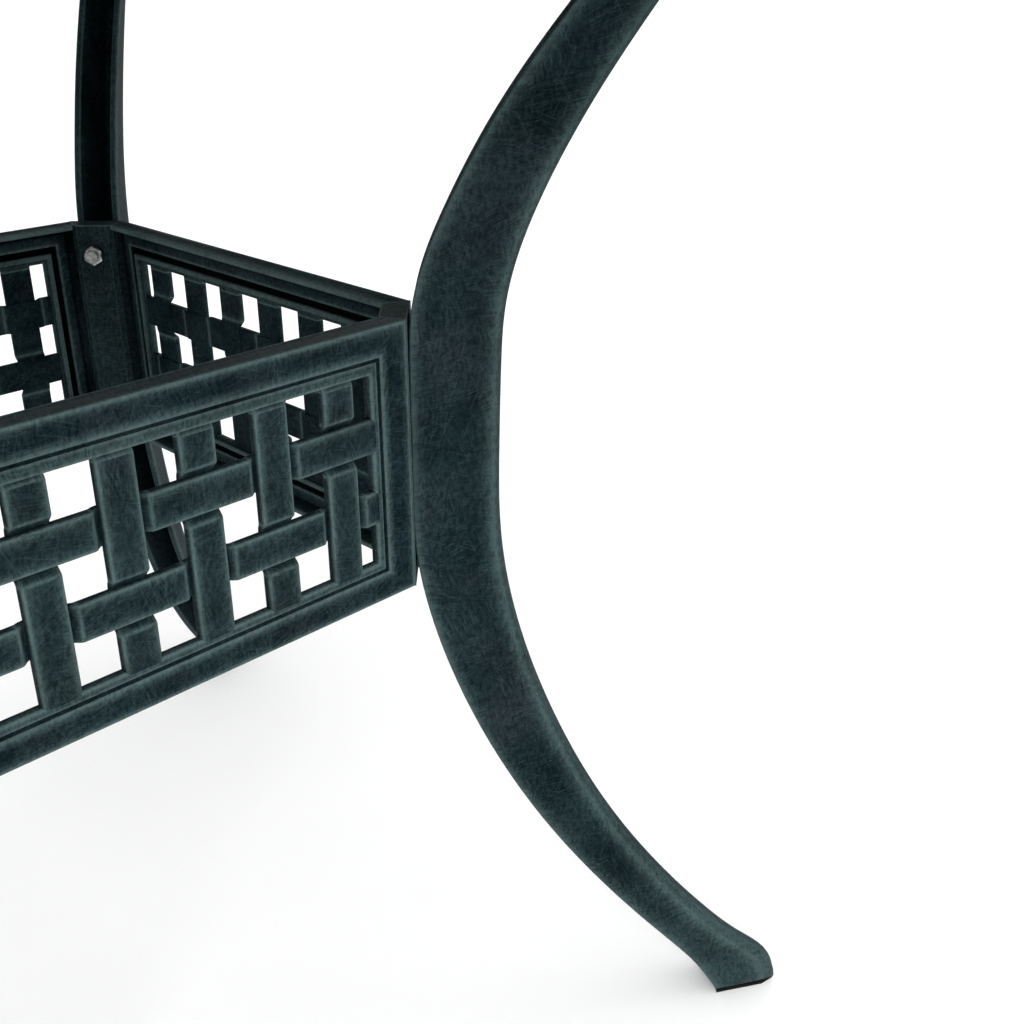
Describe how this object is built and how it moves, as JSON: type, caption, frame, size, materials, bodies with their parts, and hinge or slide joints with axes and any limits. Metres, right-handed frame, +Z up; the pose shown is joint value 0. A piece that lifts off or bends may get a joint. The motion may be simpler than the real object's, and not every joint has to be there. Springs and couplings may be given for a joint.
{
  "type": "garden table",
  "caption": "Square garden table in cast aluminium: lattice top with a parasol hole, curved channel legs and a basket-weave stretcher frame.",
  "frame": {"origin": "on the floor, under the middle of the tabletop", "axes": "+Z up, +X to the table's right side, -Y to its front; the legs stand on the diagonals"},
  "size_m": [0.9, 0.9, 0.74],
  "materials": {
    "green_coat": "satin",
    "fastener_steel": "satin",
    "glide_plastic": "matte"
  },
  "bodies": {
    "root": {"lattice_panel_front": "green_coat", "lattice_panel_right": "green_coat", "lattice_panel_back": "green_coat", "lattice_panel_left": "green_coat", "corner_post_front_right": "green_coat", "corner_post_back_right": "green_coat", "corner_post_back_left": "green_coat", "corner_post_front_left": "green_coat", "leg_front_right": "green_coat", "leg_back_right": "green_coat", "leg_back_left": "green_coat", "leg_front_left": "green_coat", "foot_glide_front_right": "glide_plastic", "foot_glide_back_right": "glide_plastic", "foot_glide_back_left": "glide_plastic", "foot_glide_front_left": "glide_plastic", "frame_studs": "fastener_steel", "frame_nuts": "fastener_steel", "top_bolts": "fastener_steel", "top_washers": "fastener_steel", "tabletop": "green_coat"}
  },
  "joints": []
}
